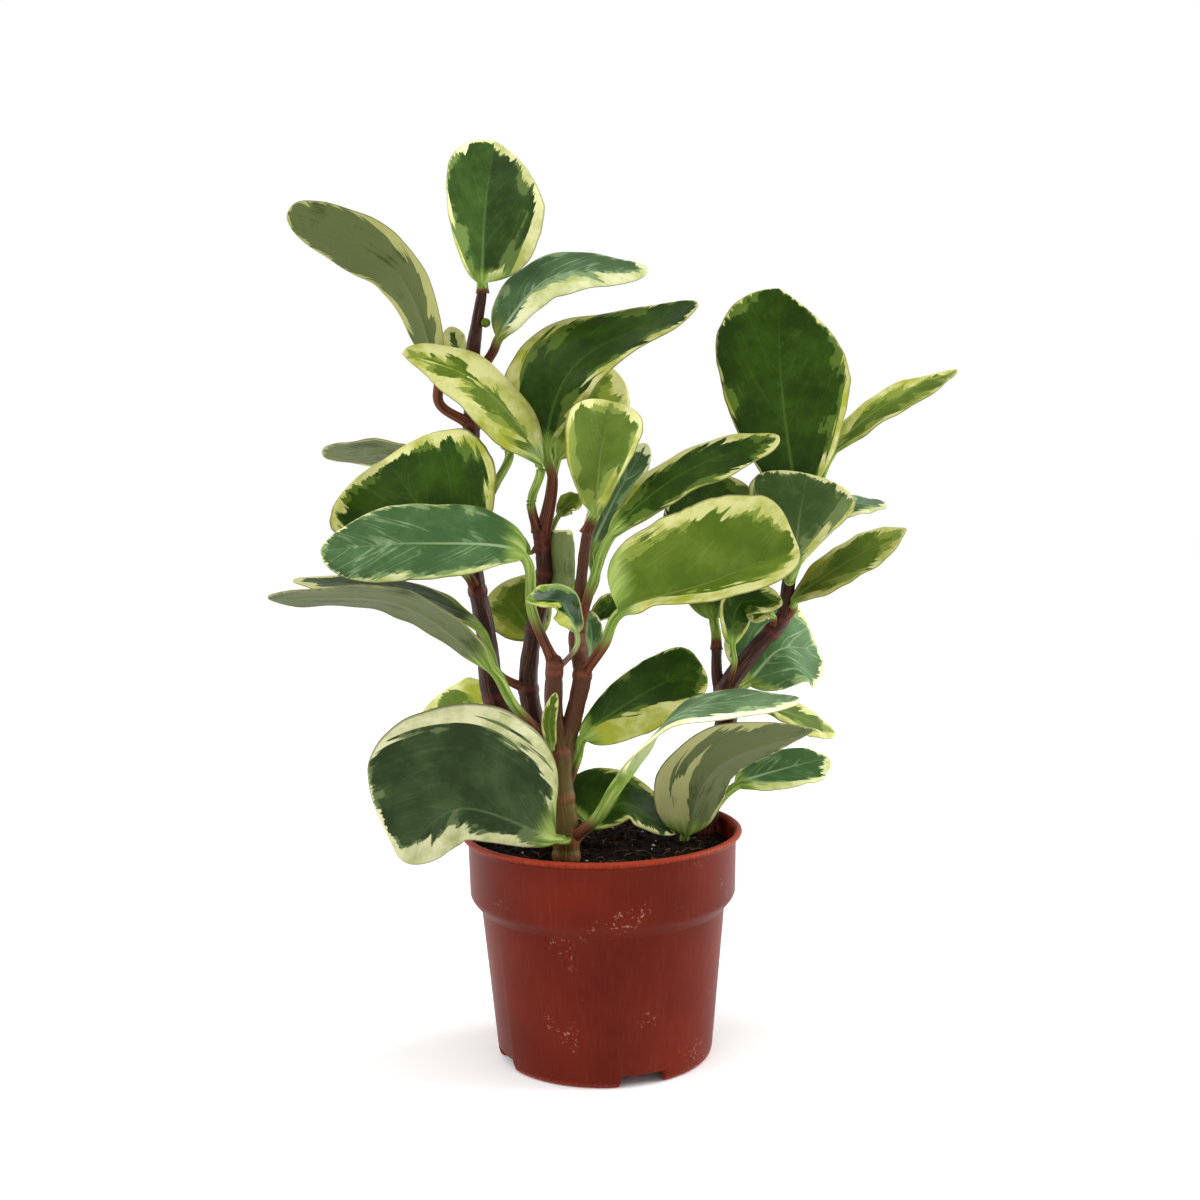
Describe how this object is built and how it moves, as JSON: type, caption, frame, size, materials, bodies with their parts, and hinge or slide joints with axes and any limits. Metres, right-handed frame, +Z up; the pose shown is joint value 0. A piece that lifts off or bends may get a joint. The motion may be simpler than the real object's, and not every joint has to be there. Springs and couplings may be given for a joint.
{
  "type": "potted peperomia",
  "caption": "Variegated peperomia: branching stems with broad oval leaves, green with cream margins, growing in soil in a round tapered nursery pot with a rolled lip.",
  "frame": {"origin": "on the floor, under the middle of the plant's outline; the pot's axis stands 14 mm to -X and 10 mm to +Y of it", "axes": "+Z up; +X to the right and -Y towards the viewer as the plant is seen in the picture"},
  "size_m": [0.2899, 0.1614, 0.3902],
  "materials": {
    "pot": "satin terracotta-coloured plastic",
    "soil": "matte, damp peat",
    "stem": "satin, purple-brown bark",
    "leaf_dark_green": "glossy leaf, dark green with cream margins",
    "leaf_blue_green": "glossy leaf, blue-green with cream margins",
    "leaf_olive": "glossy leaf, olive green with cream margins",
    "leaf_grey_green": "satin underside, grey-green with cream margins"
  },
  "bodies": {
    "root": {"pot": "pot", "soil": "soil", "stem_front": "stem", "stem_middle": "stem", "stem_tall": "stem", "stem_right": "stem", "leaf_crown_top": "leaf_dark_green", "leaf_crown_left": "leaf_grey_green", "leaf_crown_right": "leaf_blue_green", "leaf_crown_young": "leaf_grey_green", "leaf_tall_folded_back": "leaf_blue_green", "leaf_tall_broad_left": "leaf_dark_green", "leaf_tall_back_left": "leaf_grey_green", "leaf_tall_low_back_left": "leaf_olive", "leaf_middle_upper_right": "leaf_dark_green", "leaf_middle_upper_back": "leaf_olive", "leaf_middle_folded": "leaf_olive", "leaf_middle_long_left": "leaf_dark_green", "leaf_middle_low_left": "leaf_olive", "leaf_middle_young_right": "leaf_olive", "leaf_middle_young_left": "leaf_blue_green", "leaf_front_blue_left": "leaf_blue_green", "leaf_front_long_left": "leaf_grey_green", "leaf_front_broad_right": "leaf_olive", "leaf_front_cupped_top": "leaf_olive", "leaf_front_narrow_top": "leaf_blue_green", "leaf_front_top_right": "leaf_dark_green", "leaf_front_long_right": "leaf_blue_green", "leaf_front_lower_right": "leaf_dark_green", "leaf_front_low_right": "leaf_dark_green", "leaf_front_broad_low_left": "leaf_dark_green", "leaf_front_young_glossy": "leaf_dark_green", "leaf_front_young_slim": "leaf_blue_green", "leaf_front_young_wedge": "leaf_dark_green", "leaf_front_young_fork": "leaf_olive", "leaf_front_young_rolled": "leaf_grey_green", "leaf_right_top_broad": "leaf_dark_green", "leaf_right_top_twisted": "leaf_olive", "leaf_right_upper_grey": "leaf_grey_green", "leaf_right_upper_back": "leaf_blue_green", "leaf_right_inner_upright": "leaf_dark_green", "leaf_right_outer": "leaf_olive", "leaf_right_lower_blue": "leaf_blue_green", "leaf_right_young_folded": "leaf_dark_green", "leaf_right_young_bud": "leaf_olive", "leaf_right_low_lime": "leaf_olive", "leaf_right_low_back": "leaf_blue_green", "leaf_soil_grey_right": "leaf_grey_green"}
  },
  "joints": []
}
